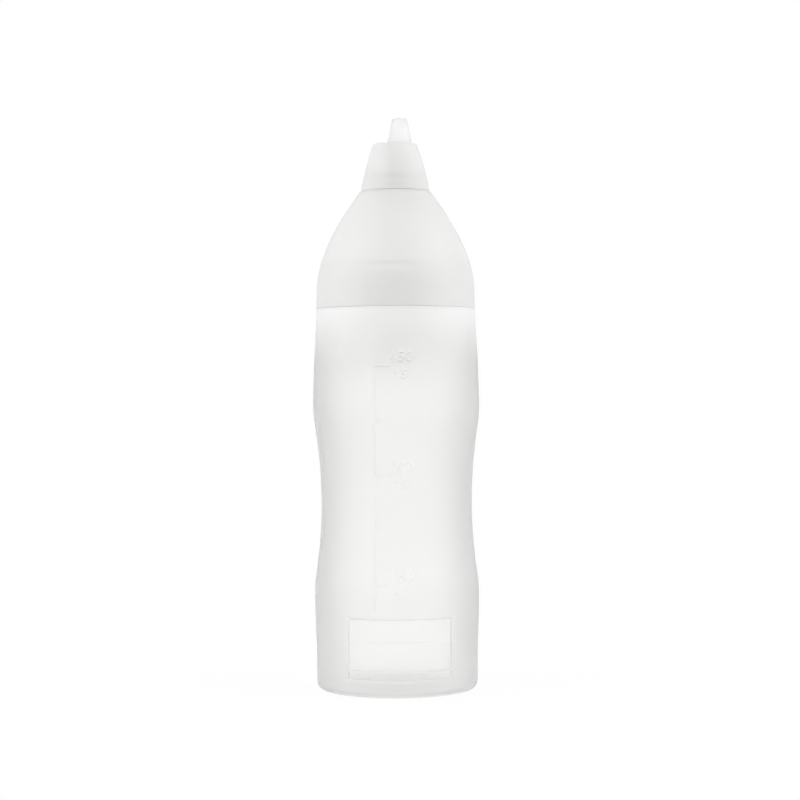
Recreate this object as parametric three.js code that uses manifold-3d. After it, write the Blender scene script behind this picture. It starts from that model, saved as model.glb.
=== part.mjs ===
// A squeeze dispensing bottle: a waisted body with a measuring scale and a writing panel, a domed screw
// cap that holds a slit valve, and a twist collar with an off-centre nozzle. Half a turn of the collar
// moves the nozzle's channel off the cap's port and shuts it.
// Millimetres, +Z up. The origin is the centre of the ring that the bottle stands on, and -Y is the front.
import * as THREE from "three";
import { mergeVertices } from "three/addons/utils/BufferGeometryUtils.js";
import Module from "manifold-3d";

const wasm = await Module();
wasm.setup();

// Fineness of the faceted surfaces
const BODY_SIDES = 40;
const CAP_SIDES = 40;
const SMALL_SIDES = 32;
const CURVE_STEPS = 6;
const CORNER_STEPS = 3;
const THREAD_STEPS_PER_TURN = 28;

// Clearances
const restGap = 0.2; // between pieces that rest on each other
const runGap = 0.35; // between surfaces that turn past each other
const cutOverrun = 1;
const leastStep = 0.05; // an outline's points keep this far from an end that it is trimmed to

// Body outline, radii and rises from the standing ring up
const standingRingInnerRadius = 23;
const standingRingOuterRadius = 29.8;
const pushUpHeight = 2.6;
const baseRadius = 33.85;
const baseCornerHeight = 4.2;
const hipRadius = 34.55;
const hipHeight = 41;
const waistRadius = 31.65;
const hipToWaist = 36.5;
const chestRadius = 35;
const waistToChest = 43.5;
const shoulderRadius = 33.5;
const chestToShoulder = 38.7;
const shoulderCorner = 1;
const bodyWall = 1.1;
// Each pair is a share of the rise and a share of the change in radius, between two of the radii above
const baseToHipShares = [[0.33, 0.08], [0.6, 0.58], [0.8, 0.93]];
const hipToWaistShares = [[0.12, 0.05], [0.35, 0.45], [0.65, 0.83]];
const waistToChestShares = [[0.33, 0.15], [0.62, 0.53], [0.85, 0.93]];
const chestToShoulderShares = [[0.32, 0.22], [0.535, 0.43], [0.74, 0.75]];

// Neck and its two-start thread
const neckHeight = 13;
const neckWall = 1.5;
const threadDepth = 1.3;
const threadRootWidth = 2.2;
const threadCrestWidth = 1;
const threadLead = 8;
const threadStarts = 2;
const threadTurns = 0.75;
const threadFade = 0.12; // turns over which a ridge's end fades
const threadFoot = 3; // shoulder to the lowest ridge
const threadSink = 0.4; // how far a ridge reaches into its wall

// Moulded relief on the front of the body
const panelLeft = -19.8;
const panelWidth = 42;
const panelBottom = 7.8;
const panelHeight = 24.4;
const panelDepth = 0.45;
const panelLineWidth = 0.55;
// Each pair is a line's rise from the panel's lower edge, and its height above the panel's floor
const panelLines = [[2.9, 0.45], [14.6, 0.15]];
const scaleLeft = -9.5;
const scaleBottom = 36;
const scaleLineWidth = 0.8;
const firstMark = 45.4;
const markSpacing = 22.4;
const markCount = 5;
const longMark = 7.2;
const shortMark = 3.5;
const reliefHeight = 0.4;

// Neck gasket
const gasketThickness = 1.2;
const gasketMargin = 0.6; // past the neck's outer wall

// Domed cap
const capLift = 0.25; // between the body's shoulder and the cap's skirt
const capHeight = 49.05;
const skirtWall = 2.2;
const domeWall = 1.9;
const domeStraight = 2.6;
const domeLip = 0.6; // past the collar's base
const domeEdge = 0.6;
const ledgeInset = 3;
const ledgeThickness = 1.4;
// Bezier handles of the dome, as shares of the rise and of the change in radius
const domeLowHandleShares = [0.15, 0.04];
const domeHighHandleShares = [0.38, -0.14];

// The cap's plate, its port, and the ring that the collar turns on
const plateThickness = 1.8;
const plateRise = 1.1; // plate's top above the dome's platform
const portRadius = 1.5;
const nozzleOffset = 2;
const seatStepInset = 0.5; // from the collar's base
const seatStepHeight = 0.2;
const seatRingWall = 1.65;
const seatRingHeight = 3.9;
const snapDepth = 0.75;
const snapRise = 1.1; // platform step to the groove
const snapHeight = 1.2;
const stopWidthDegrees = 24;
const stopHeight = 1;
const twistDegrees = 180;

// Valve and its retainer, in a pocket under the plate
const pocketRadius = 8;
const pocketWall = 1.5;
const pocketDepth = 6.4;
const valveChamber = 1.6;
const valveSeatWidth = 1.3;
const valveFlangeThickness = 1.6;
const valveMembraneRadius = 4.8;
const valveMembraneThickness = 0.6;
const valveDish = 1.4;
const slitLength = 6;
const slitWidth = 0.3;
const retainerHeight = 2.3;
const retainerWidth = 2.5;
const retainerBead = 0.45;
const retainerBeadHeight = 0.7;

// Twist collar
const collarLift = 0.2; // above the seat step
const collarHeight = 19.9;
const collarBaseWall = 1.9;
const collarTopMargin = 2.2; // round the space that the stem takes
const collarCorner = 1.3;
const collarWall = 1.2;
const webRise = 5.1;
const webThickness = 1.2;
const pressSkirtWall = 1.3;
const pressSkirtGap = 0.75; // to the cap's seat ring
const collarHandleShares = [0.5, 0.33]; // the side curve's handle: of the rise and of the change in radius

// Nozzle
const flangeThickness = 1.6;
const stemRadius = 5;
const stemBoreRadius = 2.7;
const tipBaseRadius = 5.15;
const tipTopRadius = 3.1;
const tipHeight = 10.7;
const tipBoreRadius = 1.3;
const tipEdge = 0.4;

// Places that follow from the sizes
const waistHeight = hipHeight + hipToWaist;
const chestHeight = waistHeight + waistToChest;
const shoulderHeight = chestHeight + chestToShoulder;
const rimHeight = shoulderHeight + neckHeight;
const skirtInnerRadius = shoulderRadius - skirtWall;
const neckRadius = skirtInnerRadius - runGap - threadDepth;
const neckInnerRadius = neckRadius - neckWall;
const threadPitch = threadLead / threadStarts;
const capBottom = shoulderHeight + capLift;
const gasketBottom = rimHeight + restGap;
const gasketRadius = neckRadius + gasketMargin;
const plateTop = capHeight + plateRise;
const plateBottom = plateTop - plateThickness;
const webHoleRadius = stemRadius + nozzleOffset + runGap;
const pressSkirtInnerRadius = webHoleRadius + collarWall;
const pressSkirtRadius = pressSkirtInnerRadius + pressSkirtWall;
const seatStepTop = capHeight + seatStepHeight;
const seatRingInnerRadius = pressSkirtRadius + pressSkirtGap;
const seatRingRadius = seatRingInnerRadius + seatRingWall;
const seatRingTop = seatStepTop + seatRingHeight;
const collarBoreRadius = seatRingRadius + runGap;
const collarBaseRadius = collarBoreRadius + collarBaseWall;
const collarTopRadius = webHoleRadius + collarTopMargin;
const seatStepRadius = collarBaseRadius - seatStepInset;
const domeTopRadius = collarBaseRadius + domeLip;
const valveSeat = plateBottom - valveChamber;
const pocketBottom = plateBottom - pocketDepth;
const collarBottom = seatStepTop + collarLift;

// Materials
function plastic(color, roughness, opacity) {
  const transparent = opacity < 1;
  return new THREE.MeshStandardMaterial({ color, roughness, metalness: 0, transparent, opacity });
}
const bodyPlastic = plastic(0xf1f2f1, 0.35, 0.75);
const capPlastic = plastic(0xe9e9e8, 0.4, 0.9);
const softSilicone = plastic(0xeef0f0, 0.5, 0.85);

// A point of an outline: radius from the axis, and height
function at(radius, height) {
  return new THREE.Vector2(radius, height);
}

// Outline points between two named points, given as shares of the rise and of the change in radius
function between(from, to, shares) {
  return shares.map(([rise, change]) =>
    at(from.x + (to.x - from.x) * change, from.y + (to.y - from.y) * rise));
}

// A quarter-round corner from one point to the next, bulging towards the corner point
function roundCorner(from, corner, to) {
  return new THREE.QuadraticBezierCurve(from, corner, to).getPoints(CORNER_STEPS);
}

// The outline moved square to itself: inwards by a positive distance, outwards by a negative one
function inset(points, distance) {
  return points.map((point, i) => {
    const before = points[Math.max(i - 1, 0)];
    const after = points[Math.min(i + 1, points.length - 1)];
    const along = after.clone().sub(before).normalize();
    return at(point.x - along.y * distance, point.y + along.x * distance);
  });
}

// The part of a rising outline between two heights, with new ends exactly at those heights
function trim(points, low, high) {
  const radiusAt = (height) => {
    const next = points.findIndex((point) => point.y >= height);
    if (next < 1) return points[next === 0 ? 0 : points.length - 1].x;
    const share = (height - points[next - 1].y) / (points[next].y - points[next - 1].y);
    return THREE.MathUtils.lerp(points[next - 1].x, points[next].x, share);
  };
  const inside = points.filter((point) => point.y > low + leastStep && point.y < high - leastStep);
  return [at(radiusAt(low), low), ...inside, at(radiusAt(high), high)];
}

// A closed geometry as a manifold solid, and back
function solidOf(geometry) {
  const bare = new THREE.BufferGeometry().setAttribute("position", geometry.getAttribute("position"));
  bare.setIndex(geometry.index);
  const merged = mergeVertices(bare);
  const index = merged.index.array;
  const triangles = [];
  for (let i = 0; i < index.length; i += 3) {
    const [a, b, c] = [index[i], index[i + 1], index[i + 2]];
    if (a !== b && b !== c && c !== a) triangles.push(a, b, c);
  }
  const mesh = new wasm.Mesh({
    numProp: 3,
    vertProperties: merged.getAttribute("position").array,
    triVerts: new Uint32Array(triangles),
  });
  mesh.merge();
  return new wasm.Manifold(mesh);
}

function geometryOf(solid) {
  const mesh = solid.getMesh();
  const geometry = new THREE.BufferGeometry();
  geometry.setAttribute("position", new THREE.BufferAttribute(mesh.vertProperties, mesh.numProp));
  geometry.setIndex(new THREE.BufferAttribute(mesh.triVerts, 1));
  geometry.computeVertexNormals();
  return geometry;
}

// A solid of revolution about the vertical line through (x, 0)
function turned(points, sides, x = 0) {
  const geometry = new THREE.LatheGeometry(points, sides);
  geometry.rotateX(Math.PI / 2);
  geometry.translate(x, 0, 0);
  return solidOf(geometry);
}

function ring(innerRadius, outerRadius, bottom, top, sides) {
  const corners = [
    at(innerRadius, bottom), at(outerRadius, bottom), at(outerRadius, top), at(innerRadius, top),
  ];
  return turned([...corners, corners[0]], sides);
}

function rod(radius, bottom, top, sides, x = 0) {
  return turned([at(0, bottom), at(radius, bottom), at(radius, top), at(0, top)], sides, x);
}

function block(left, right, front, back, bottom, top) {
  const geometry = new THREE.BoxGeometry(right - left, back - front, top - bottom);
  geometry.translate((left + right) / 2, (front + back) / 2, (bottom + top) / 2);
  return solidOf(geometry);
}

// A block bent round the axis, from one angle to another in degrees
function arcBlock(innerRadius, outerRadius, bottom, top, fromDegrees, toDegrees) {
  const from = THREE.MathUtils.degToRad(fromDegrees);
  const to = THREE.MathUtils.degToRad(toDegrees);
  const shape = new THREE.Shape();
  shape.absarc(0, 0, outerRadius, from, to, false);
  shape.absarc(0, 0, innerRadius, to, from, true);
  const geometry = new THREE.ExtrudeGeometry(shape, {
    depth: top - bottom, bevelEnabled: false, curveSegments: CURVE_STEPS,
  });
  geometry.translate(0, 0, bottom);
  return solidOf(geometry);
}

// One thread ridge: a trapezoid swept up a right-hand helix, whose ends fade into the wall.
// A positive reach stands outwards from the wall, and a negative one inwards.
function threadRidge(wallRadius, reach, startHeight, startTurn) {
  const steps = Math.round(threadTurns * THREAD_STEPS_PER_TURN);
  const outward = Math.sign(reach);
  const positions = [];
  for (let step = 0; step <= steps; step += 1) {
    const turn = (step / steps) * threadTurns;
    const fade = Math.min(1, turn / threadFade, (threadTurns - turn) / threadFade);
    const angle = (startTurn + turn) * 2 * Math.PI;
    const height = startHeight + turn * threadLead;
    const foot = wallRadius - outward * threadSink;
    const crest = wallRadius + reach * fade;
    const section = [
      [foot, -threadRootWidth], [crest, -threadCrestWidth],
      [crest, threadCrestWidth], [foot, threadRootWidth],
    ];
    if (outward < 0) section.reverse();
    for (const [radius, width] of section) {
      positions.push(radius * Math.cos(angle), radius * Math.sin(angle), height + width / 2);
    }
  }
  const cornerCount = 4;
  const index = [0, 1, 2, 0, 2, 3];
  for (let step = 0; step < steps; step += 1) {
    for (let corner = 0; corner < cornerCount; corner += 1) {
      const a = step * cornerCount + corner;
      const b = step * cornerCount + ((corner + 1) % cornerCount);
      index.push(a, a + cornerCount, b, b, a + cornerCount, b + cornerCount);
    }
  }
  const last = steps * cornerCount;
  index.push(last, last + 2, last + 1, last, last + 3, last + 2);
  const geometry = new THREE.BufferGeometry();
  geometry.setAttribute("position", new THREE.Float32BufferAttribute(positions, 3));
  geometry.setIndex(index);
  return solidOf(geometry);
}

function withThread(solid, wallRadius, reach, startHeight) {
  let threaded = solid;
  for (let start = 0; start < threadStarts; start += 1) {
    threaded = threaded.add(threadRidge(wallRadius, reach, startHeight, start / threadStarts));
  }
  return threaded;
}

// The body's outer side, from the standing ring's edge to the top of the shoulder
function bodySide() {
  const base = at(baseRadius, baseCornerHeight);
  const hip = at(hipRadius, hipHeight);
  const waist = at(waistRadius, waistHeight);
  const chest = at(chestRadius, chestHeight);
  const shoulder = at(shoulderRadius, shoulderHeight - shoulderCorner);
  const knots = [
    base, ...between(base, hip, baseToHipShares), hip, ...between(hip, waist, hipToWaistShares), waist,
    ...between(waist, chest, waistToChestShares), chest,
    ...between(chest, shoulder, chestToShoulderShares), shoulder,
  ];
  const side = new THREE.SplineCurve(knots).getPoints(3 * CURVE_STEPS);
  const foot = roundCorner(at(standingRingOuterRadius, 0), at(baseRadius, 0), base);
  const top = roundCorner(shoulder, at(shoulderRadius, shoulderHeight),
    at(shoulderRadius - shoulderCorner, shoulderHeight));
  return { foot, side, top };
}

// A skin that follows the body's side, from a distance outside it to a distance inside it
function bodySkin(side, outside, inside) {
  const loop = [...inset(side, -outside), ...inset(side, inside).reverse()];
  return turned([...loop, loop[0]], BODY_SIDES);
}

function moulded(side, body) {
  const front = -(chestRadius + cutOverrun);
  const frontBlock = (left, right, bottom, top) => block(left, right, front, 0, bottom, top);
  const panelRight = panelLeft + panelWidth;
  const panel = frontBlock(panelLeft, panelRight, panelBottom, panelBottom + panelHeight);
  const sunk = body.subtract(bodySkin(side, cutOverrun, panelDepth).intersect(panel));
  const scaleTop = firstMark + (markCount - 1) * markSpacing + scaleLineWidth;
  const bar = frontBlock(scaleLeft, scaleLeft + scaleLineWidth, scaleBottom, scaleTop);
  const marks = Array.from({ length: markCount }, (_, mark) => {
    const height = firstMark + mark * markSpacing;
    const length = mark % 2 === 0 ? longMark : shortMark;
    return frontBlock(scaleLeft, scaleLeft + length, height, height + scaleLineWidth);
  });
  const halfWall = bodyWall / 2;
  const scaleSkin = bodySkin(side, reliefHeight, halfWall);
  let made = sunk;
  for (const [rise, height] of panelLines) {
    const bottom = panelBottom + rise;
    const line = frontBlock(panelLeft, panelRight, bottom, bottom + panelLineWidth);
    made = made.add(bodySkin(side, height - panelDepth, halfWall).intersect(line));
  }
  for (const line of [bar, ...marks]) made = made.add(scaleSkin.intersect(line));
  return made;
}

function bottleBody() {
  const { foot, side, top } = bodySide();
  const neckRoot = at(neckRadius, shoulderHeight);
  const inner = inset([...foot, ...side.slice(1), ...top.slice(1)], bodyWall);
  const insideLow = bodyWall;
  const insideHigh = shoulderHeight - bodyWall;
  const cavitySide = trim(inner.filter((_, i) => i % 2 === 0), insideLow, insideHigh).reverse();
  const outline = [
    at(0, pushUpHeight), at(standingRingInnerRadius, 0), ...foot, ...side.slice(1), ...top.slice(1),
    neckRoot, at(neckRadius, rimHeight), at(neckInnerRadius, rimHeight), at(neckInnerRadius, insideHigh),
    ...cavitySide, at(standingRingInnerRadius, bodyWall), at(0, pushUpHeight + bodyWall),
  ];
  const shell = moulded(side, turned(outline, BODY_SIDES));
  return withThread(shell, neckRadius, threadDepth, shoulderHeight + threadFoot);
}

function neckGasket() {
  return ring(neckInnerRadius + restGap, gasketRadius, 0, gasketThickness, CAP_SIDES);
}

// The dome's outer side, in the cap's own heights from its skirt's lower edge
function domeSide() {
  const low = at(shoulderRadius, domeStraight);
  const high = at(domeTopRadius, capHeight - domeEdge);
  const [lowHandle] = between(low, high, [domeLowHandleShares]);
  const [highHandle] = between(low, high, [domeHighHandleShares]);
  return new THREE.CubicBezierCurve(low, lowHandle, highHandle, high).getPoints(2 * CURVE_STEPS);
}

function domeCap() {
  const side = domeSide();
  const ledgeBottom = gasketBottom + gasketThickness + restGap - capBottom;
  const ledgeTop = ledgeBottom + ledgeThickness;
  const recessRadius = gasketRadius + runGap;
  const ledgeRadius = recessRadius - ledgeInset;
  const wallInside = trim(inset(side, domeWall), ledgeTop + ledgeThickness, plateBottom).reverse();
  const grooveRadius = pocketRadius + retainerBead;
  const retainerTop = valveSeat - restGap - valveFlangeThickness - restGap;
  const grooveMiddle = retainerTop - retainerHeight / 2;
  const grooveHalf = retainerBeadHeight / 2 + restGap;
  const snapFloor = seatRingRadius - snapDepth;
  const snapBottom = seatStepTop + snapRise;
  const crownCorner = at(domeTopRadius - domeEdge, capHeight);
  const outline = [
    at(0, plateBottom), at(pocketRadius - valveSeatWidth, plateBottom),
    at(pocketRadius - valveSeatWidth, valveSeat), at(pocketRadius, valveSeat),
    at(pocketRadius, grooveMiddle + grooveHalf + restGap), at(grooveRadius, grooveMiddle + grooveHalf),
    at(grooveRadius, grooveMiddle - grooveHalf), at(pocketRadius, grooveMiddle - grooveHalf - restGap),
    at(pocketRadius, pocketBottom), at(pocketRadius + pocketWall, pocketBottom),
    at(pocketRadius + pocketWall, plateBottom), ...wallInside,
    at(ledgeRadius, ledgeTop), at(ledgeRadius, ledgeBottom), at(recessRadius, ledgeBottom),
    at(recessRadius, ledgeBottom - gasketThickness - restGap),
    at(skirtInnerRadius, ledgeBottom - gasketThickness - ledgeThickness),
    at(skirtInnerRadius, 0), at(shoulderRadius, 0), ...side,
    ...roundCorner(side.at(-1), crownCorner, at(seatStepRadius, capHeight)).slice(1),
    at(seatStepRadius, seatStepTop), at(seatRingRadius, seatStepTop),
    at(seatRingRadius, snapBottom - restGap),
    at(snapFloor, snapBottom), at(snapFloor, snapBottom + snapHeight),
    at(seatRingRadius, snapBottom + snapHeight + restGap), at(seatRingRadius, seatRingTop - restGap),
    at(seatRingRadius - restGap, seatRingTop), at(seatRingInnerRadius, seatRingTop),
    at(seatRingInnerRadius, plateTop), at(0, plateTop),
  ];
  const portBottom = plateBottom - cutOverrun;
  const port = rod(portRadius, portBottom, plateTop + cutOverrun, SMALL_SIDES, nozzleOffset);
  const shell = withThread(turned(outline, CAP_SIDES).subtract(port), skirtInnerRadius, -threadDepth,
    threadFoot - capLift + threadPitch / 2);
  // The stop fills what the collar's lug doesn't sweep, and faces +X
  const gapDegrees = THREE.MathUtils.radToDeg(runGap / seatRingRadius);
  const halfStop = (360 - twistDegrees - stopWidthDegrees) / 2 - gapDegrees;
  const stop = arcBlock(seatRingInnerRadius + restGap, seatRingRadius - restGap,
    seatRingTop - restGap, seatRingTop + stopHeight, -halfStop, halfStop);
  return shell.add(stop);
}

function dripValve() {
  const radius = pocketRadius - restGap;
  const membrane = (depth, edge) => {
    const middle = at(edge / 2, -depth);
    return new THREE.QuadraticBezierCurve(at(0, -depth), middle, at(edge, 0)).getPoints(CORNER_STEPS);
  };
  const under = membrane(valveDish, valveMembraneRadius);
  const over = membrane(valveDish - valveMembraneThickness, valveMembraneRadius).reverse();
  const outline = [
    ...under, at(radius, 0), at(radius, valveFlangeThickness),
    at(valveMembraneRadius + valveMembraneThickness, valveFlangeThickness),
    at(valveMembraneRadius + valveMembraneThickness / 2, valveMembraneThickness),
    ...over.slice(1),
  ];
  const half = slitLength / 2;
  const narrow = slitWidth / 2;
  const slits = [
    block(-half, half, -narrow, narrow, -valveDish - cutOverrun, valveFlangeThickness),
    block(-narrow, narrow, -half, half, -valveDish - cutOverrun, valveFlangeThickness),
  ];
  return slits.reduce((valve, slit) => valve.subtract(slit), turned(outline, SMALL_SIDES));
}

function valveRetainer() {
  const radius = pocketRadius - restGap;
  const inner = radius - retainerWidth;
  const middle = retainerHeight / 2;
  const half = retainerBeadHeight / 2;
  const bead = pocketRadius + retainerBead - restGap;
  const outline = [
    at(inner, 0), at(radius, 0), at(radius, middle - half), at(bead, middle - half / 2),
    at(bead, middle + half / 2), at(radius, middle + half),
    at(radius, retainerHeight), at(inner, retainerHeight),
  ];
  return turned([...outline, outline[0]], SMALL_SIDES);
}

// The collar, in its own heights from its lower edge
function twistCollar() {
  const low = at(collarBaseRadius, 0);
  const high = at(collarTopRadius, collarHeight - collarCorner);
  const [handle] = between(low, high, [collarHandleShares]);
  const side = new THREE.QuadraticBezierCurve(low, handle, high).getPoints(CURVE_STEPS);
  const webTop = webRise + webThickness;
  const ceiling = collarHeight - collarWall;
  const beadMiddle = snapRise + snapHeight / 2 - collarLift;
  const beadHalf = snapHeight / 2 - restGap;
  const beadRadius = seatRingRadius - snapDepth + runGap;
  const flangeTop = plateTop + restGap + flangeThickness - collarBottom;
  const skirtBottom = flangeTop + restGap;
  const topCorner = at(collarTopRadius, collarHeight);
  const topEdge = at(collarTopRadius - collarCorner, collarHeight);
  const outline = [
    at(0, ceiling), ...trim(inset(side, collarWall), webTop, ceiling).reverse(),
    at(webHoleRadius, webTop), at(webHoleRadius, webRise),
    at(pressSkirtInnerRadius, webRise), at(pressSkirtInnerRadius, skirtBottom),
    at(pressSkirtRadius, skirtBottom), at(pressSkirtRadius, webRise),
    at(collarBoreRadius, webRise), at(collarBoreRadius, beadMiddle + beadHalf),
    at(beadRadius, beadMiddle + beadHalf / 2), at(beadRadius, beadMiddle - beadHalf / 2),
    at(collarBoreRadius, beadMiddle - beadHalf), at(collarBoreRadius, 0), ...side,
    ...roundCorner(high, topCorner, topEdge).slice(1), at(0, collarHeight),
  ];
  const holeBottom = ceiling - cutOverrun;
  const holeTop = collarHeight + cutOverrun;
  const hole = rod(stemRadius + runGap, holeBottom, holeTop, SMALL_SIDES, nozzleOffset);
  // The lug that runs against the cap's stop, at the back when the nozzle is open
  const backDegrees = 90;
  const lug = arcBlock(seatRingInnerRadius + restGap, collarBoreRadius + collarWall / 2,
    seatRingTop + restGap - collarBottom, webRise + webThickness / 2,
    backDegrees - stopWidthDegrees / 2, backDegrees + stopWidthDegrees / 2);
  return turned(outline, SMALL_SIDES).subtract(hole).add(lug);
}

// The nozzle, from the underside of its flange: the flange is centred, and the stem is not
function nozzleTip() {
  const stemTop = collarBottom + collarHeight - plateTop - restGap;
  const top = stemTop + tipHeight;
  const stem = turned([
    at(0, 0), at(stemRadius, 0), at(stemRadius, stemTop + restGap),
    at(tipBaseRadius, stemTop + 2 * restGap),
    at(tipTopRadius, top - tipEdge), at(tipTopRadius - tipEdge, top), at(0, top),
  ], SMALL_SIDES, nozzleOffset);
  const channel = turned([
    at(0, -cutOverrun), at(portRadius, -cutOverrun), at(portRadius, flangeThickness),
    at(stemBoreRadius, flangeThickness + stemBoreRadius), at(stemBoreRadius, stemTop),
    at(tipBoreRadius, top), at(tipBoreRadius, top + cutOverrun), at(0, top + cutOverrun),
  ], SMALL_SIDES, nozzleOffset);
  const flange = rod(seatRingInnerRadius - runGap, 0, flangeThickness, SMALL_SIDES);
  return flange.add(stem).subtract(channel);
}

function piece(name, solid, material, height) {
  const mesh = new THREE.Mesh(geometryOf(solid), material);
  mesh.name = name;
  mesh.position.z = height;
  return mesh;
}

// Assembly: the collar's group sits in the cap's, and the cap's on the bottle
const collar = new THREE.Group();
collar.add(piece("twist_collar", twistCollar(), capPlastic, collarBottom));
collar.add(piece("nozzle_tip", nozzleTip(), softSilicone, plateTop + restGap));

const cap = new THREE.Group();
cap.position.z = capBottom;
cap.add(piece("dome_cap", domeCap(), capPlastic, 0));
const valveBottom = valveSeat - restGap - valveFlangeThickness;
cap.add(piece("drip_valve", dripValve(), softSilicone, valveBottom));
cap.add(piece("valve_retainer", valveRetainer(), capPlastic, valveBottom - restGap - retainerHeight));
cap.add(collar);

const bottle = new THREE.Group();
bottle.add(piece("bottle_body", bottleBody(), bodyPlastic, 0));
bottle.add(piece("neck_gasket", neckGasket(), softSilicone, gasketBottom));
bottle.add(cap);

export default bottle;
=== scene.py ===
"""A squeeze dispensing bottle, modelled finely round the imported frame.

Metres, in the frame's own axes. Z is up, and the front, with the volume scale and the writing panel,
faces -Y.
"""
import math

import bmesh
import bpy
import numpy as np
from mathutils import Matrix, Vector

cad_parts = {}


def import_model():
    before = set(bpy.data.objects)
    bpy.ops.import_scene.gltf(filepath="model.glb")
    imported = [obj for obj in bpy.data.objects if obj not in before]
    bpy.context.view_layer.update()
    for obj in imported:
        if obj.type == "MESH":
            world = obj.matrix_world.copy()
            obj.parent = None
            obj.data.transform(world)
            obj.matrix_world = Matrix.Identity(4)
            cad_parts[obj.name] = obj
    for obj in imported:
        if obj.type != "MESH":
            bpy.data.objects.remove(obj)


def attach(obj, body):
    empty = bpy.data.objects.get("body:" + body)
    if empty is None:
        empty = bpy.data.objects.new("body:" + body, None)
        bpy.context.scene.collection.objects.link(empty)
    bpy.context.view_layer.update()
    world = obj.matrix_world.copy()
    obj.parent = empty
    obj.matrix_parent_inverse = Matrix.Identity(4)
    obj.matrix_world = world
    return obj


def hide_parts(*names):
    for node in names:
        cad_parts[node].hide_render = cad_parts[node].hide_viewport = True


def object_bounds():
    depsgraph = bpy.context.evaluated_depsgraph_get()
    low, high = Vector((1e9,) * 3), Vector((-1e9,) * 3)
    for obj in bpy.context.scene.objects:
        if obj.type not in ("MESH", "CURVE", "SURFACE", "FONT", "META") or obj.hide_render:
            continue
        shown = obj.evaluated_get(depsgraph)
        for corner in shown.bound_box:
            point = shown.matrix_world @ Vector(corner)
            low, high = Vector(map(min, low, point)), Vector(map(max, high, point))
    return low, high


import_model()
cad_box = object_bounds()

MM = 0.001

# Fineness of the turned surfaces
CAP_COLUMNS = 160
SMALL_COLUMNS = 96
SIDE_COLUMNS = 22
BACK_COLUMNS = 76
FRONT_SPACING = 1.5 * MM
SIDE_SPACING = 1.5 * MM
NUMBER_SPACING = 0.17 * MM
SLOPE_SHARES = np.array([-0.5, -0.2, 0.2, 0.5])
INNER_SPACING = 3 * MM
THREAD_SPACING = 0.35 * MM
LEAST_STEP = 0.04 * MM
CURVE_STEPS = 40
KNOT_STEPS = 12
FILLET_STEPS = 4
SHARP_ANGLE = math.radians(50)
MERGE_DISTANCE = 0.001 * MM
LONGEST_ARM_SHARE = 0.45

# Clearances, and the rounding of moulded edges
REST_GAP = 0.2 * MM
RUN_GAP = 0.35 * MM
EDGE = 0.35 * MM
FINE_EDGE = 0.15 * MM

# Body outline
STANDING_RING_INNER_RADIUS = 23 * MM
STANDING_RING_OUTER_RADIUS = 29.8 * MM
PUSH_UP_HEIGHT = 2.6 * MM
PUSH_UP_FLAT_RADIUS = 12 * MM
BASE_RADIUS = 33.85 * MM
BASE_CORNER_HEIGHT = 4.2 * MM
HIP_RADIUS = 34.55 * MM
HIP_HEIGHT = 41 * MM
WAIST_RADIUS = 31.65 * MM
HIP_TO_WAIST = 36.5 * MM
CHEST_RADIUS = 35 * MM
WAIST_TO_CHEST = 43.5 * MM
SHOULDER_RADIUS = 33.5 * MM
CHEST_TO_SHOULDER = 38.7 * MM
SHOULDER_CORNER = 0.3 * MM
BODY_WALL = 1.1 * MM
BASE_TO_HIP_SHARES = [(0.33, 0.08), (0.6, 0.58), (0.8, 0.93)]
HIP_TO_WAIST_SHARES = [(0.12, 0.05), (0.35, 0.45), (0.65, 0.83)]
WAIST_TO_CHEST_SHARES = [(0.33, 0.15), (0.62, 0.53), (0.85, 0.93)]
CHEST_TO_SHOULDER_SHARES = [(0.32, 0.22), (0.535, 0.43), (0.74, 0.75)]

# Neck and thread
NECK_HEIGHT = 13 * MM
NECK_WALL = 1.5 * MM
THREAD_DEPTH = 1.3 * MM
THREAD_ROOT_WIDTH = 2.2 * MM
THREAD_CREST_WIDTH = 1 * MM
THREAD_LEAD = 8 * MM
THREAD_STARTS = 2
THREAD_TURNS = 0.75
THREAD_FADE_TURNS = 0.12
THREAD_FOOT = 3 * MM

# Moulded relief on the body's front
RELIEF_SLOPE = 0.2 * MM
PANEL_LEFT = -19.8 * MM
PANEL_WIDTH = 42 * MM
PANEL_BOTTOM = 7.8 * MM
PANEL_HEIGHT = 24.4 * MM
PANEL_DEPTH = 0.6 * MM
PANEL_RIM = 0.9 * MM
PANEL_TOP_SLOPE = 0.6 * MM
PANEL_LINE = 0.55 * MM
# Each pair is a line's rise from the panel's lower edge, and its height above the panel's floor
PANEL_LINES = [(2.9 * MM, 0.6 * MM), (14.6 * MM, 0.15 * MM)]
SCALE_LEFT = -9.5 * MM
SCALE_BOTTOM = 36 * MM
SCALE_LINE = 0.8 * MM
FIRST_MARK = 45.4 * MM
MARK_SPACING = 22.4 * MM
MARK_COUNT = 5
LONG_MARK = 7.2 * MM
SHORT_MARK = 3.5 * MM
RELIEF_HEIGHT = 0.4 * MM
SEAM_WIDTH = 0.7 * MM
SEAM_HEIGHT = 0.1 * MM
CLOUDY_HEIGHT = 24 * MM
# Height up to which the foot's outer corner gets a painted shade
FOOT_SHADE_HEIGHT = 2.4 * MM

# Numbers beside the scale's long marks, drawn with a round pen. The photograph's can't be read, so
# their values, steps and widths are guesses
NUMBER_HEIGHT = 3.6 * MM
SMALL_NUMBER_HEIGHT = 3 * MM
DIGIT_WIDTH_SHARE = 0.62
DIGIT_PITCH_SHARE = 0.95
PEN_WIDTH = 0.55 * MM
PEN_SLOPE = 0.3 * MM
NUMBER_LEFT = -2.6 * MM
SMALL_NUMBER_LEFT = -0.6 * MM
NUMBER_RISE = 2.2 * MM
SMALL_NUMBER_DROP = 4.6 * MM
NUMBER_STEP = 150
SMALL_NUMBER_STEP = 5
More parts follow.
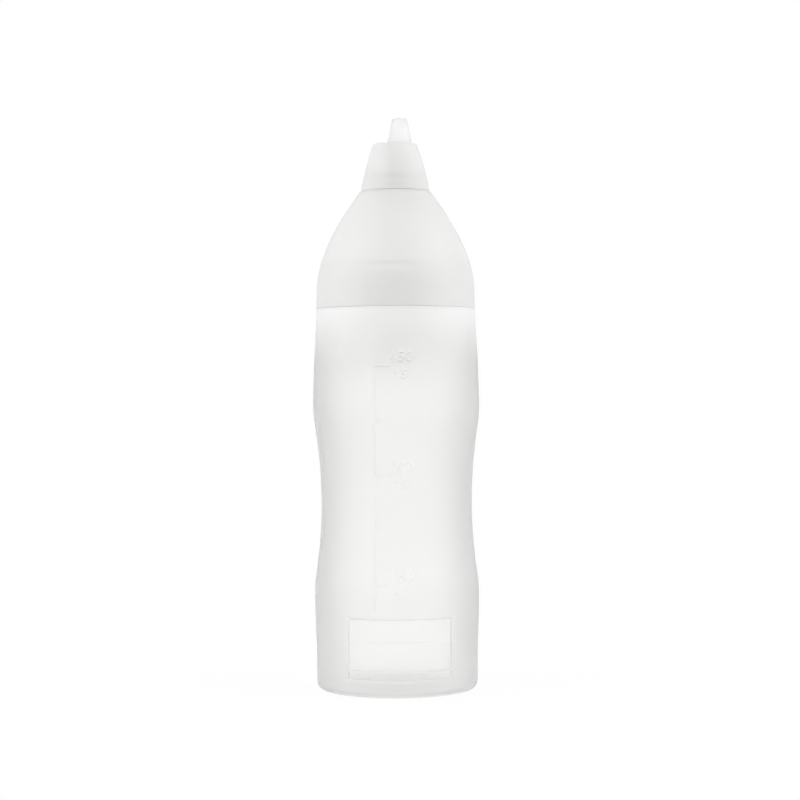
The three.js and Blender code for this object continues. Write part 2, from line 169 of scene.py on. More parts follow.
# Each digit's strokes pass through these points, as shares of its width and height
DIGIT_SHARES = {
    "0": [[(0.5, 0), (0.9, 0.16), (1, 0.5), (0.9, 0.84), (0.5, 1),
           (0.1, 0.84), (0, 0.5), (0.1, 0.16), (0.5, 0)]],
    "1": [[(0.15, 0.78), (0.6, 1)], [(0.6, 1), (0.6, 0)]],
    "3": [[(0.05, 0.88), (0.48, 1), (0.88, 0.77), (0.4, 0.55)],
          [(0.4, 0.55), (0.96, 0.28), (0.5, 0), (0, 0.13)]],
    "4": [[(0.74, 0), (0.74, 1)], [(0.74, 1), (0, 0.3)], [(0, 0.3), (1, 0.3)]],
    "5": [[(0.9, 1), (0.2, 1)], [(0.2, 1), (0.12, 0.56)],
          [(0.12, 0.56), (0.5, 0.64), (0.95, 0.33), (0.5, 0), (0, 0.12)]],
}

# Neck gasket
GASKET_THICKNESS = 1.2 * MM
GASKET_MARGIN = 0.6 * MM

# Domed cap
CAP_LIFT = 0.05 * MM
CAP_HEIGHT = 49.4 * MM
SKIRT_WALL = 2.2 * MM
DOME_WALL = 1.9 * MM
DOME_STRAIGHT = 2.6 * MM
DOME_TOP_RADIUS = 15.1 * MM
DOME_EDGE = 0.12 * MM
HEM_EDGE = 0.1 * MM
DOME_LOW_HANDLE_SHARES = (0.15, 0.04)
DOME_HIGH_HANDLE_SHARES = (0.38, -0.14)
LEDGE_INSET = 3 * MM
LEDGE_THICKNESS = 1.4 * MM

# The cap's plate, its port, and the ring that the collar turns on
PLATE_THICKNESS = 1.8 * MM
PLATE_RISE = 0.95 * MM
PORT_RADIUS = 1.5 * MM
NOZZLE_OFFSET = 2 * MM
SEAT_STEP_RADIUS = 14.4 * MM
SEAT_STEP_HEIGHT = 0.05 * MM
SEAT_RING_RADIUS = 12.25 * MM
SEAT_RING_WALL = 1.65 * MM
SEAT_RING_HEIGHT = 3.9 * MM
SNAP_DEPTH = 0.75 * MM
SNAP_RISE = 1.1 * MM
SNAP_HEIGHT = 1.2 * MM
STOP_WIDTH_DEGREES = 24
STOP_HEIGHT = 1 * MM
STOP_SLOPE_DEGREES = 3
TWIST_DEGREES = 180

# Valve and its retainer
POCKET_RADIUS = 8 * MM
POCKET_WALL = 1.5 * MM
POCKET_DEPTH = 6.4 * MM
VALVE_CHAMBER = 1.6 * MM
VALVE_SEAT_WIDTH = 1.3 * MM
VALVE_FLANGE_THICKNESS = 1.6 * MM
MEMBRANE_RADIUS = 4.8 * MM
MEMBRANE_THICKNESS = 0.6 * MM
VALVE_DISH = 1.4 * MM
SLIT_LENGTH = 6 * MM
SLIT_WIDTH = 0.3 * MM
RETAINER_HEIGHT = 2.3 * MM
RETAINER_WIDTH = 2.5 * MM
RETAINER_BEAD = 0.45 * MM
RETAINER_BEAD_HEIGHT = 0.7 * MM

# Twist collar
COLLAR_LIFT = 0.06 * MM
COLLAR_HEIGHT = 20.04 * MM
COLLAR_BASE_RADIUS = 14.5 * MM
COLLAR_TOP_RADIUS = 9.55 * MM
COLLAR_CORNER = 1.3 * MM
COLLAR_WALL = 1.2 * MM
COLLAR_HANDLE_SHARES = (0.5, 0.33)
WEB_RISE = 5.24 * MM
WEB_THICKNESS = 1.2 * MM
PRESS_SKIRT_WALL = 1.3 * MM

# Nozzle
FLANGE_THICKNESS = 1.6 * MM
STEM_RADIUS = 5 * MM
STEM_BORE_RADIUS = 2.7 * MM
TIP_BASE_RADIUS = 5.15 * MM
TIP_TOP_RADIUS = 3.1 * MM
TIP_HEIGHT = 10.7 * MM
TIP_BORE_RADIUS = 1.3 * MM
TIP_EDGE = 0.45 * MM

# Places that follow
PANEL_RIGHT = PANEL_LEFT + PANEL_WIDTH
PANEL_TOP = PANEL_BOTTOM + PANEL_HEIGHT
WAIST_HEIGHT = HIP_HEIGHT + HIP_TO_WAIST
CHEST_HEIGHT = WAIST_HEIGHT + WAIST_TO_CHEST
SHOULDER_HEIGHT = CHEST_HEIGHT + CHEST_TO_SHOULDER
RIM_HEIGHT = SHOULDER_HEIGHT + NECK_HEIGHT
SKIRT_INNER_RADIUS = SHOULDER_RADIUS - SKIRT_WALL
NECK_RADIUS = SKIRT_INNER_RADIUS - RUN_GAP - THREAD_DEPTH
NECK_INNER_RADIUS = NECK_RADIUS - NECK_WALL
CAP_BOTTOM = SHOULDER_HEIGHT + CAP_LIFT
CAP_TOP = CAP_BOTTOM + CAP_HEIGHT
GASKET_BOTTOM = RIM_HEIGHT + REST_GAP
GASKET_RADIUS = NECK_RADIUS + GASKET_MARGIN
LEDGE_BOTTOM = GASKET_BOTTOM + GASKET_THICKNESS + REST_GAP
LEDGE_TOP = LEDGE_BOTTOM + LEDGE_THICKNESS
SKIRT_TOP = LEDGE_BOTTOM - GASKET_THICKNESS - LEDGE_THICKNESS
PLATE_TOP = CAP_TOP + PLATE_RISE
PLATE_BOTTOM = PLATE_TOP - PLATE_THICKNESS
SEAT_STEP_TOP = CAP_TOP + SEAT_STEP_HEIGHT
SEAT_RING_INNER_RADIUS = SEAT_RING_RADIUS - SEAT_RING_WALL
SEAT_RING_TOP = SEAT_STEP_TOP + SEAT_RING_HEIGHT
VALVE_SEAT = PLATE_BOTTOM - VALVE_CHAMBER
VALVE_BOTTOM = VALVE_SEAT - REST_GAP - VALVE_FLANGE_THICKNESS
RETAINER_BOTTOM = VALVE_BOTTOM - REST_GAP - RETAINER_HEIGHT
COLLAR_BOTTOM = SEAT_STEP_TOP + COLLAR_LIFT
COLLAR_TOP = COLLAR_BOTTOM + COLLAR_HEIGHT
COLLAR_CEILING = COLLAR_TOP - COLLAR_WALL
COLLAR_BORE_RADIUS = SEAT_RING_RADIUS + RUN_GAP
WEB_BOTTOM = COLLAR_BOTTOM + WEB_RISE
WEB_TOP = WEB_BOTTOM + WEB_THICKNESS
NOZZLE_BOTTOM = PLATE_TOP + REST_GAP

# Camera and light
PHOTO_SIZE = 800
PHOTO_SCALE = 0.422 * MM
CAMERA_DISTANCE = 845 * MM
CAMERA_HEIGHT = 121.4 * MM
CAMERA_SIDE = 1.6 * MM
CAMERA_ROLL_DEGREES = 0.28
SENSOR = 36
FLOOR_SIZE = 8
FLOOR_TONE = 0.95
SHADOW_REACH = 50 * MM
SHADOW_END = 200 * MM
SHADOW_WHITE_SHARE = 0.94
AMBIENT = 0.62
# Each lamp's name, place, width and length, and power
LAMPS = [
    ("left", (-1.15, -0.38, 0.6), (1.4, 1.1), 9),
    ("right", (1.15, -0.38, 0.6), (1.4, 1.1), 9),
    ("top", (0, 0.2, 1.2), (0.9, 0.9), 2),
]
LAMP_AIM = (0, 0, 0.12)

# Plastics
PALE = (1, 0.998, 0.9955)
CLOUD = (0.998, 0.996, 0.992)
CLOUD_SCALE = 45
CLOUD_DETAIL = 4
CLOUD_ROUGHNESS = 0.55
GRAIN = 0.6 * MM
CAP_GRAIN = 0.5 * MM
FROSTED_GRAIN = 0.4 * MM
GRAIN_DETAIL = 3
GRAIN_DEPTH = 0.05 * MM
BODY_IOR = 1.45
CAP_IOR = 1.5
CLEAR_SHARE = 1
CLOUDY_SHARE = 0.32


# Curves

def spline(knots):
    """Points of a smooth curve that passes through the knots."""
    held = [np.array(knot) for knot in (knots[0], *knots, knots[-1])]
    points = []
    for before, start, end, after in zip(held, held[1:], held[2:], held[3:]):
        for step in range(KNOT_STEPS):
            t = step / KNOT_STEPS
            slope = end - before
            bend = 2 * before - 5 * start + 4 * end - after
            twist = 3 * (start - end) + after - before
            points.append((2 * start + slope * t + bend * t**2 + twist * t**3) / 2)
    points.append(held[-1])
    return [tuple(point) for point in points]


def bezier(controls, steps=CURVE_STEPS):
    """Points of the Bezier curve with these control points."""
    points = []
    for t in np.linspace(0, 1, steps + 1):
        held = [np.array(control, float) for control in controls]
        while len(held) > 1:
            held = [a * (1 - t) + b * t for a, b in zip(held, held[1:])]
        points.append(tuple(held[0]))
    return points


def between(start, end, shares):
    """Points between two, given as shares of the rise and of the change in radius."""
    return [(start[0] + (end[0] - start[0]) * change, start[1] + (end[1] - start[1]) * rise)
            for rise, change in shares]


def inset(points, distance):
    """The outline moved square to itself, towards the axis on a rising outline."""
    held = np.array(points)
    along = np.gradient(held, axis=0)
    along /= np.linalg.norm(along, axis=1)[:, None]
    return [tuple(p) for p in held + np.stack([-along[:, 1], along[:, 0]], axis=1) * distance]


def rounded(corners):
    """Outline points, where a corner given as (radius, height, rounding) becomes an arc."""
    points = []
    for i, corner in enumerate(corners):
        if len(corner) == 2 or i in (0, len(corners) - 1):
            points.append(tuple(corner[:2]))
            continue
        here = Vector(corner[:2])
        arms = [Vector(corners[i + step][:2]) - here for step in (-1, 1)]
        reach = min(corner[2], *(arm.length * LONGEST_ARM_SHARE for arm in arms))
        ends = [here + arm.normalized() * reach for arm in arms]
        points += bezier([ends[0], here, ends[1]], FILLET_STEPS)
    return points


def ramp(values, low, high, slope):
    """1 between low and high and 0 outside, with smooth slopes of that width centred on both."""
    up = np.clip((values - low) / slope + 0.5, 0, 1)
    down = np.clip((high - values) / slope + 0.5, 0, 1)
    both = np.minimum(up, down)
    return both * both * (3 - 2 * both)


# Meshes

def even(columns):
    """Evenly spaced angles, measured from the front towards +X."""
    return np.linspace(0, 2 * math.pi, columns, endpoint=False)


def ring(radius, height, angles, centre=0.0):
    """A ring of points about the upright line at x = centre. Radius and height may vary round it."""
    radius = np.broadcast_to(radius, angles.shape)
    height = np.broadcast_to(height, angles.shape)
    return np.stack([centre + radius * np.sin(angles), -radius * np.cos(angles), height], axis=1)


def rings(outline, angles, centre=0.0):
    return [ring(radius, height, angles, centre) for radius, height in outline]


def axis_point(height):
    return np.array([[0.0, 0.0, height]])


def skinned(name, rows, closed):
    """An object whose mesh joins the rows of points in order, and the last to the first where closed."""
    starts = np.cumsum([0] + [len(row) for row in rows])
    pairs = list(zip(range(len(rows) - 1), range(1, len(rows))))
    if closed:
        pairs.append((len(rows) - 1, 0))
    faces = []
    for low, high in pairs:
        count = max(len(rows[low]), len(rows[high]))
        for i in range(count):
            j = (i + 1) % count
            if len(rows[low]) == 1:
                faces.append((starts[low], starts[high] + j, starts[high] + i))
            elif len(rows[high]) == 1:
                faces.append((starts[low] + i, starts[low] + j, starts[high]))
            else:
                faces.append((starts[low] + i, starts[low] + j, starts[high] + j, starts[high] + i))
    mesh = bpy.data.meshes.new(name)
    mesh.from_pydata(np.concatenate(rows).tolist(), [], [tuple(int(v) for v in face) for face in faces])
    obj = bpy.data.objects.new(name, mesh)
    bpy.context.scene.collection.objects.link(obj)
    return obj


def cleaned(obj):
    """Merges what coincides, turns faces outwards, and smooths all but the sharp edges."""
    work = bmesh.new()
    work.from_mesh(obj.data)
    bmesh.ops.remove_doubles(work, verts=work.verts, dist=MERGE_DISTANCE)
    bmesh.ops.dissolve_degenerate(work, edges=work.edges, dist=MERGE_DISTANCE)
    bmesh.ops.recalc_face_normals(work, faces=work.faces)
    for face in work.faces:
        face.smooth = True
    for edge in work.edges:
        edge.smooth = edge.is_manifold and edge.calc_face_angle(0) < SHARP_ANGLE
    work.to_mesh(obj.data)
    work.free()
    return obj


def placed(obj, material, body, slot, *nodes):
    """Gives a finished piece its material, its body and the CAD nodes that it stands for. Its slot is not
    used.
    """
    cleaned(obj)
    obj.data.materials.clear()
    obj.data.materials.append(material)
    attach(obj, body)
    if nodes:
        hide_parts(*nodes)
    return obj


def cut(obj, cutters):
    """Cuts the cutters out of obj, and deletes them."""
    for cutter in cutters:
        modifier = obj.modifiers.new("cut", "BOOLEAN")
        modifier.operation = "DIFFERENCE"
        modifier.solver = "EXACT"
        modifier.object = cutter
    made = obj.evaluated_get(bpy.context.evaluated_depsgraph_get())
    mesh = bpy.data.meshes.new_from_object(made)
    obj.modifiers.clear()
    obj.data = mesh
    for cutter in cutters:
        bpy.data.objects.remove(cutter)


# Threads

def thread(angles, height, foot):
    """How much of the thread's depth stands out round a row. Its ridges climb on a right-hand helix."""
    turns = (angles - math.pi / 2) / (2 * math.pi)
    share = np.zeros_like(angles)
    for start in range(THREAD_STARTS):
        turn = (turns - start / THREAD_STARTS) % 1
        off = np.abs(height - foot - turn * THREAD_LEAD)
        flank = (THREAD_ROOT_WIDTH - THREAD_CREST_WIDTH) / 2
        section = np.clip((THREAD_ROOT_WIDTH / 2 - off) / flank, 0, 1)
        fade = np.clip(np.minimum(turn, THREAD_TURNS - turn) / THREAD_FADE_TURNS, 0, 1)
        share = np.maximum(share, section * section * (3 - 2 * section) * fade)
    return share


# Body

def side_knots():
    base = (BASE_RADIUS, BASE_CORNER_HEIGHT)
    hip = (HIP_RADIUS, HIP_HEIGHT)
    waist = (WAIST_RADIUS, WAIST_HEIGHT)
    chest = (CHEST_RADIUS, CHEST_HEIGHT)
    shoulder = (SHOULDER_RADIUS, SHOULDER_HEIGHT - SHOULDER_CORNER)
    return [
        base, *between(base, hip, BASE_TO_HIP_SHARES),
        hip, *between(hip, waist, HIP_TO_WAIST_SHARES),
        waist, *between(waist, chest, WAIST_TO_CHEST_SHARES),
        chest, *between(chest, shoulder, CHEST_TO_SHOULDER_SHARES),
        shoulder,
    ]


SIDE = np.array(spline(side_knots()))


def side_radius(height):
    """The body's outer radius at a height on its side."""
    return np.interp(height, SIDE[:, 1], SIDE[:, 0])


def mark_heights():
    return [FIRST_MARK + mark * MARK_SPACING for mark in range(MARK_COUNT)]


def mark_length(mark):
    return SHORT_MARK if mark % 2 else LONG_MARK


def number_strokes():
    """The pen's way along every number, as short lines from (x, height) to (x, height)."""
    lines = []
    for step, mark in enumerate(range(0, MARK_COUNT, 2), 1):
        level = mark_heights()[mark]
        for value, left, low, size in (
            (NUMBER_STEP * step, NUMBER_LEFT, level + NUMBER_RISE, NUMBER_HEIGHT),
            (SMALL_NUMBER_STEP * step, SMALL_NUMBER_LEFT, level - SMALL_NUMBER_DROP, SMALL_NUMBER_HEIGHT),
        ):
            for place, digit in enumerate(str(value)):
                corner = np.array([left + place * DIGIT_PITCH_SHARE * size, low])
                for stroke in DIGIT_SHARES[digit]:
                    points = np.array(spline(stroke)) * [DIGIT_WIDTH_SHARE * size, size] + corner
                    lines.append(np.hstack([points[:-1], points[1:]]))
    return np.concatenate(lines)


STROKES = number_strokes()


def pen_share(x, height):
    """How much of the pen's full relief stands at each x of a row, from 0 to 1."""
    low, high = np.minimum(STROKES[:, 1], STROKES[:, 3]), np.maximum(STROKES[:, 1], STROKES[:, 3])
    near = STROKES[(low < height + PEN_WIDTH) & (high > height - PEN_WIDTH)]
    if not len(near):
        return np.zeros_like(x)
    point = np.stack([x, np.full_like(x, height)], axis=1)
    start, along = near[:, None, :2], near[:, None, 2:] - near[:, None, :2]
    share = np.clip(((point - start) * along).sum(axis=2) / (along**2).sum(axis=2), 0, 1)
    distance = np.linalg.norm(start + share[..., None] * along - point, axis=2).min(axis=0)
    return ramp(distance, -PEN_WIDTH, PEN_WIDTH / 2, PEN_SLOPE)


def front_relief(x, height):
    """How far the moulded front stands out from the body's side."""
    def area(left, right, low, high):
        return ramp(x, left, right, RELIEF_SLOPE) * ramp(height, low, high, RELIEF_SLOPE)

    floor = area(PANEL_LEFT, PANEL_RIGHT, PANEL_BOTTOM, PANEL_TOP)
    floor *= ramp(height, 0, PANEL_TOP, PANEL_TOP_SLOPE)
    outer = area(PANEL_LEFT - PANEL_RIM, PANEL_RIGHT + PANEL_RIM,
                 PANEL_BOTTOM - PANEL_RIM, PANEL_TOP + PANEL_RIM)
    panel = (outer - floor) * RELIEF_HEIGHT / 2 - floor * PANEL_DEPTH
    for rise, line_height in PANEL_LINES:
        low = PANEL_BOTTOM + rise
        panel += area(PANEL_LEFT, PANEL_RIGHT, low, low + PANEL_LINE) * line_height
    scale = area(SCALE_LEFT, SCALE_LEFT + SCALE_LINE, SCALE_BOTTOM, mark_heights()[-1] + SCALE_LINE)
    for mark, low in enumerate(mark_heights()):
        scale = np.maximum(scale, area(SCALE_LEFT, SCALE_LEFT + mark_length(mark), low, low + SCALE_LINE))
    return panel + np.maximum(scale, pen_share(x, height)) * RELIEF_HEIGHT


def with_slopes(edges, numbers, low, high, spacing):
    """Places from low to high, evenly spaced, but closer on a relief's slopes and along the numbers."""
    close = [edge + RELIEF_SLOPE * SLOPE_SHARES for edge in edges]
    close += [np.arange(start, end, NUMBER_SPACING) for start, end in numbers]
    close = np.concatenate(close)
    even_places = np.linspace(low, high, round((high - low) / spacing) + 1)
    clear = [place for place in even_places if np.abs(close - place).min() > RELIEF_SLOPE / 2]
    places = np.sort(np.concatenate([clear, close]))
    places = places[(places >= low) & (places <= high)]
    return places[np.diff(places, prepend=-1) > LEAST_STEP]


def front_columns():
    """The x of the columns across the body's front."""
    edges = [PANEL_LEFT - PANEL_RIM, PANEL_LEFT, PANEL_RIGHT, PANEL_RIGHT + PANEL_RIM,
             SCALE_LEFT, SCALE_LEFT + SCALE_LINE, SCALE_LEFT + SHORT_MARK, SCALE_LEFT + LONG_MARK]
    reach = PANEL_RIGHT + PANEL_RIM + RELIEF_SLOPE
    numbers = [(STROKES[:, 0].min() - PEN_WIDTH, STROKES[:, 0].max() + PEN_WIDTH)]
    return with_slopes(edges, numbers, -reach, reach, FRONT_SPACING)


def side_rows():
    """The heights of the rows up the body's side."""
    edges = [PANEL_BOTTOM - PANEL_RIM, PANEL_BOTTOM, PANEL_TOP, PANEL_TOP + PANEL_RIM, SCALE_BOTTOM]
    edges += [PANEL_TOP + PANEL_TOP_SLOPE * share for share in SLOPE_SHARES]
    for rise, _ in PANEL_LINES:
        edges += [PANEL_BOTTOM + rise, PANEL_BOTTOM + rise + PANEL_LINE]
    for height in mark_heights():
        edges += [height, height + SCALE_LINE]
    numbers = []
    for mark in mark_heights()[::2]:
        sizes = [(mark - SMALL_NUMBER_DROP, SMALL_NUMBER_HEIGHT), (mark + NUMBER_RISE, NUMBER_HEIGHT)]
        numbers += [(low - PEN_WIDTH, low + size + PEN_WIDTH) for low, size in sizes]
    top = SHOULDER_HEIGHT - SHOULDER_CORNER
    return with_slopes(edges, numbers, BASE_CORNER_HEIGHT, top, SIDE_SPACING)


FRONT = front_columns()


def body_angles(radius):
    """Angles round the body: the front's columns keep their x at every radius, and the rest are even."""
    front = np.arcsin(FRONT / radius)
    reach = SLOPE_SHARES * 2 * SEAM_WIDTH / SHOULDER_RADIUS
    right, left = math.pi / 2 + reach, 3 * math.pi / 2 + reach
    stretches = [(front[-1], right[0], SIDE_COLUMNS), (right[-1], left[0], BACK_COLUMNS),
                 (left[-1], front[0] + 2 * math.pi, SIDE_COLUMNS)]
    first, back, last = (np.linspace(start, end, count + 2)[1:-1] for start, end, count in stretches)
    return np.concatenate([front, first, right, back, left, last])


def seam_relief(angles):
    """The fine ridges where the mould's halves meet, at both sides of the body."""
    width = SEAM_WIDTH / SHOULDER_RADIUS
    sides = (math.pi / 2, 3 * math.pi / 2)
    return sum(ramp(angles, side, side, width) for side in sides) * 2 * SEAM_HEIGHT


def side_ring(height):
    """A ring of the body's side with its relief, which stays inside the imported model's box."""
    radius = side_radius(height)
    angles = body_angles(radius)
    facing = np.cos(angles) > 0
    relief = front_relief(radius * np.sin(angles), height) * facing
    most = cad_box[1][0] / np.maximum(np.abs(np.sin(angles)), np.abs(np.cos(angles)))
    return ring(np.minimum(radius + relief + seam_relief(angles), most), height, angles)


def neck_ring(height):
    angles = body_angles(BASE_RADIUS)
    ridge = THREAD_DEPTH * thread(angles, height, SHOULDER_HEIGHT + THREAD_FOOT)
    return ring(NECK_RADIUS + ridge, height, angles)


def in_panel(x, y, z):
    return y < 0 and PANEL_LEFT < x < PANEL_RIGHT and PANEL_BOTTOM < z < PANEL_TOP


# The faces along the panel's upper slope, which get a painted shade so that the slope shows as a darker
# line
def on_panel_edge(x, y, z):
    return y < 0 and PANEL_LEFT < x < PANEL_RIGHT and abs(z - PANEL_TOP) < PANEL_TOP_SLOPE / 2


# The faces of the foot's outer corner, which get a painted shade
def in_foot(x, y, z):
    return z < FOOT_SHADE_HEIGHT and math.hypot(x, y) > STANDING_RING_OUTER_RADIUS


def paint_faces(obj, material, chosen):
    """Gives the faces with a chosen centre a material of their own."""
    obj.data.materials.append(material)
    for face in obj.data.polygons:
        if chosen(*face.center):
            face.material_index = len(obj.data.materials) - 1


def push_up_outline():
    """From the flat middle of the pushed-up base down to the standing ring."""
    inner = STANDING_RING_INNER_RADIUS
    return bezier([(PUSH_UP_FLAT_RADIUS, PUSH_UP_HEIGHT), (inner - EDGE, PUSH_UP_HEIGHT), (inner, 0)],
                  FILLET_STEPS * 2)


def foot_outline():
    """From the standing ring round the base's corner."""
    return bezier([(STANDING_RING_OUTER_RADIUS, 0), (BASE_RADIUS, 0), (BASE_RADIUS, BASE_CORNER_HEIGHT)],
                  FILLET_STEPS * 2)


def shoulder_outline():
    """From the body's side round the shoulder's corner to the foot of the neck."""
    corner = [(SHOULDER_RADIUS, SHOULDER_HEIGHT - SHOULDER_CORNER), (SHOULDER_RADIUS, SHOULDER_HEIGHT),
              (SHOULDER_RADIUS - SHOULDER_CORNER, SHOULDER_HEIGHT)]
    return bezier(corner, FILLET_STEPS * 2)[1:] + [(NECK_RADIUS + EDGE, SHOULDER_HEIGHT)]


def rim_outline():
    """Over the neck's rim, from its outside to its inside."""
    low = RIM_HEIGHT - 2 * EDGE
    return rounded([(NECK_RADIUS, low), (NECK_RADIUS, RIM_HEIGHT, EDGE),
                    (NECK_INNER_RADIUS, RIM_HEIGHT, EDGE), (NECK_INNER_RADIUS, low)])


def inside_outline():
    """Down the body's inside, from the foot of the neck to the base."""
    wide, ceiling = SHOULDER_RADIUS - BODY_WALL, SHOULDER_HEIGHT - BODY_WALL
    start = ceiling - SHOULDER_CORNER
    shoulder = rounded([(NECK_INNER_RADIUS, SHOULDER_HEIGHT), (NECK_INNER_RADIUS, ceiling, EDGE),
                        (wide, ceiling, SHOULDER_CORNER), (wide, start)])[:-1]
    heights = np.arange(start, BASE_CORNER_HEIGHT, -INNER_SPACING)
    side = [(side_radius(height) - BODY_WALL, height) for height in heights]
    floor = [(radius, height + BODY_WALL) for radius, height in push_up_outline()[::-1]]
    return shoulder + side + inset(foot_outline(), BODY_WALL)[::-1] + floor


def bottle_body(material, panel_material, panel_edge_shade_material, foot_shade_material):
    angles = body_angles(BASE_RADIUS)
    neck_heights = np.arange(SHOULDER_HEIGHT + EDGE, RIM_HEIGHT - 3 * EDGE, THREAD_SPACING)
    rows = [axis_point(PUSH_UP_HEIGHT)]
    rows += rings(push_up_outline() + foot_outline()[:-1], angles)
    rows += [side_ring(height) for height in side_rows()]
    rows += rings(shoulder_outline(), angles)
    rows += [neck_ring(height) for height in neck_heights]
    rows += rings(rim_outline() + inside_outline(), angles)
    rows.append(axis_point(PUSH_UP_HEIGHT + BODY_WALL))
    body = skinned("moulded_bottle", rows, False)
    placed(body, material, "bottle", "body_plastic", "bottle_body")
    paint_faces(body, panel_material, in_panel)
    # Painted shade on the panel's upper edge
    paint_faces(body, panel_edge_shade_material, on_panel_edge)
    # Painted shade on the foot's outer corner
    paint_faces(body, foot_shade_material, in_foot)


# Gasket, valve and retainer

def neck_gasket(material):
    inner, top = NECK_INNER_RADIUS + REST_GAP, GASKET_BOTTOM + GASKET_THICKNESS
    outline = rounded([(inner, GASKET_BOTTOM + EDGE), (inner, GASKET_BOTTOM, FINE_EDGE),
                       (GASKET_RADIUS, GASKET_BOTTOM, FINE_EDGE), (GASKET_RADIUS, top, FINE_EDGE),
                       (inner, top, FINE_EDGE), (inner, top - EDGE)])
    obj = skinned("flat_gasket", rings(outline, even(CAP_COLUMNS)), True)
    return placed(obj, material, "gasket", "seal_rubber", "neck_gasket")


def slit_box(length, width):
    """A block through the valve's dish, for one arm of its cross slit."""
    low, high = VALVE_BOTTOM - 2 * VALVE_DISH, VALVE_BOTTOM + VALVE_FLANGE_THICKNESS
    across = [(x * length / 2, y * width / 2) for x, y in ((-1, -1), (1, -1), (1, 1), (-1, 1))]
    rows = [np.array([(*point, height) for point in across]) for height in (low, high)]
    rows = [np.array([[0, 0, low]]), *rows, np.array([[0, 0, high]])]
    return cleaned(skinned("slit", rows, False))


def drip_valve(material):
    radius = POCKET_RADIUS - REST_GAP
    lip = MEMBRANE_RADIUS + MEMBRANE_THICKNESS
    top = VALVE_BOTTOM + VALVE_FLANGE_THICKNESS

    def dish(depth):
        return bezier([(0, VALVE_BOTTOM - depth), (MEMBRANE_RADIUS / 2, VALVE_BOTTOM - depth),
                       (MEMBRANE_RADIUS, VALVE_BOTTOM)], FILLET_STEPS * 2)[1:]

    over = dish(VALVE_DISH - MEMBRANE_THICKNESS)[::-1][1:]
    flange = rounded([(MEMBRANE_RADIUS, VALVE_BOTTOM), (radius, VALVE_BOTTOM, FINE_EDGE),
                      (radius, top, FINE_EDGE), (lip, top, FINE_EDGE),
                      (lip, VALVE_BOTTOM + MEMBRANE_THICKNESS, EDGE), over[0]])
    outline = dish(VALVE_DISH)[:-1] + flange + over[1:]
    low = VALVE_BOTTOM - VALVE_DISH
    rows = [axis_point(low), *rings(outline, even(SMALL_COLUMNS)), axis_point(low + MEMBRANE_THICKNESS)]
    obj = cleaned(skinned("slit_valve", rows, False))
    cut(obj, [slit_box(SLIT_LENGTH, SLIT_WIDTH), slit_box(SLIT_WIDTH, SLIT_LENGTH)])
    return placed(obj, material, "cap", "valve_rubber", "drip_valve")


def valve_retainer(material):
    radius = POCKET_RADIUS - REST_GAP
    inner = radius - RETAINER_WIDTH
    bead = POCKET_RADIUS + RETAINER_BEAD - REST_GAP
    top = RETAINER_BOTTOM + RETAINER_HEIGHT
    middle = (RETAINER_BOTTOM + top) / 2
    half = RETAINER_BEAD_HEIGHT / 2
    outline = rounded([
        (inner, RETAINER_BOTTOM + EDGE), (inner, RETAINER_BOTTOM, FINE_EDGE),
        (radius, RETAINER_BOTTOM, FINE_EDGE), (radius, middle - half, FINE_EDGE),
        (bead, middle - half / 2, FINE_EDGE), (bead, middle + half / 2, FINE_EDGE),
        (radius, middle + half, FINE_EDGE), (radius, top, FINE_EDGE),
        (inner, top, FINE_EDGE), (inner, top - EDGE),
    ])
    obj = skinned("snap_retainer", rings(outline, even(SMALL_COLUMNS)), True)
    return placed(obj, material, "cap", "retainer_plastic", "valve_retainer")


# Domed cap

def dome_side():
    low = (SHOULDER_RADIUS, CAP_BOTTOM + DOME_STRAIGHT)
    high = (DOME_TOP_RADIUS, CAP_TOP - DOME_EDGE)
    handles = between(low, high, [DOME_LOW_HANDLE_SHARES, DOME_HIGH_HANDLE_SHARES])
    return bezier([low, *handles, high])


def stop_share(angles):
    """1 where the seat ring carries the stop for the collar's lug, on the +X side."""
    away = np.abs((angles - math.pi / 2 + math.pi) % (2 * math.pi) - math.pi)
    left_over = 2 * math.pi - math.radians(TWIST_DEGREES + STOP_WIDTH_DEGREES)
    half = left_over / 2 - RUN_GAP / SEAT_RING_RADIUS
    return np.clip((half - away) / math.radians(STOP_SLOPE_DEGREES), 0, 1)


def pocket_outline():
    """Down the inside of the valve's pocket, round its lip, and up its outside to the plate."""
    seat = POCKET_RADIUS - VALVE_SEAT_WIDTH
    groove = POCKET_RADIUS + RETAINER_BEAD
    middle = RETAINER_BOTTOM + RETAINER_HEIGHT / 2
    half = RETAINER_BEAD_HEIGHT / 2 + REST_GAP
    bottom = PLATE_BOTTOM - POCKET_DEPTH
    outside = POCKET_RADIUS + POCKET_WALL
    return rounded([
        (seat - EDGE, PLATE_BOTTOM), (seat, PLATE_BOTTOM, FINE_EDGE), (seat, VALVE_SEAT, FINE_EDGE),
        (POCKET_RADIUS, VALVE_SEAT, FINE_EDGE), (POCKET_RADIUS, middle + half + REST_GAP, FINE_EDGE),
        (groove, middle + half, FINE_EDGE), (groove, middle - half, FINE_EDGE),
        (POCKET_RADIUS, middle - half - REST_GAP, FINE_EDGE), (POCKET_RADIUS, bottom, FINE_EDGE),
        (outside, bottom, EDGE), (outside, PLATE_BOTTOM, EDGE), (outside + EDGE * 2, PLATE_BOTTOM),
    ])


def dome_inside(side):
    """The inside of the dome's wall, from over the ledge to the plate."""
    low = LEDGE_TOP + LEDGE_THICKNESS
    return [point for point in inset(side, DOME_WALL) if low < point[1] < PLATE_BOTTOM]


def ledge_outline(start):
    """From the dome's inside round the ledge over the gasket, and down its recess to the skirt."""
    recess = GASKET_RADIUS + RUN_GAP
    ledge = recess - LEDGE_INSET
    return rounded([start, (ledge, LEDGE_TOP, EDGE), (ledge, LEDGE_BOTTOM, EDGE),
                    (recess, LEDGE_BOTTOM, FINE_EDGE), (recess, GASKET_BOTTOM, EDGE),
                    (SKIRT_INNER_RADIUS, SKIRT_TOP)])


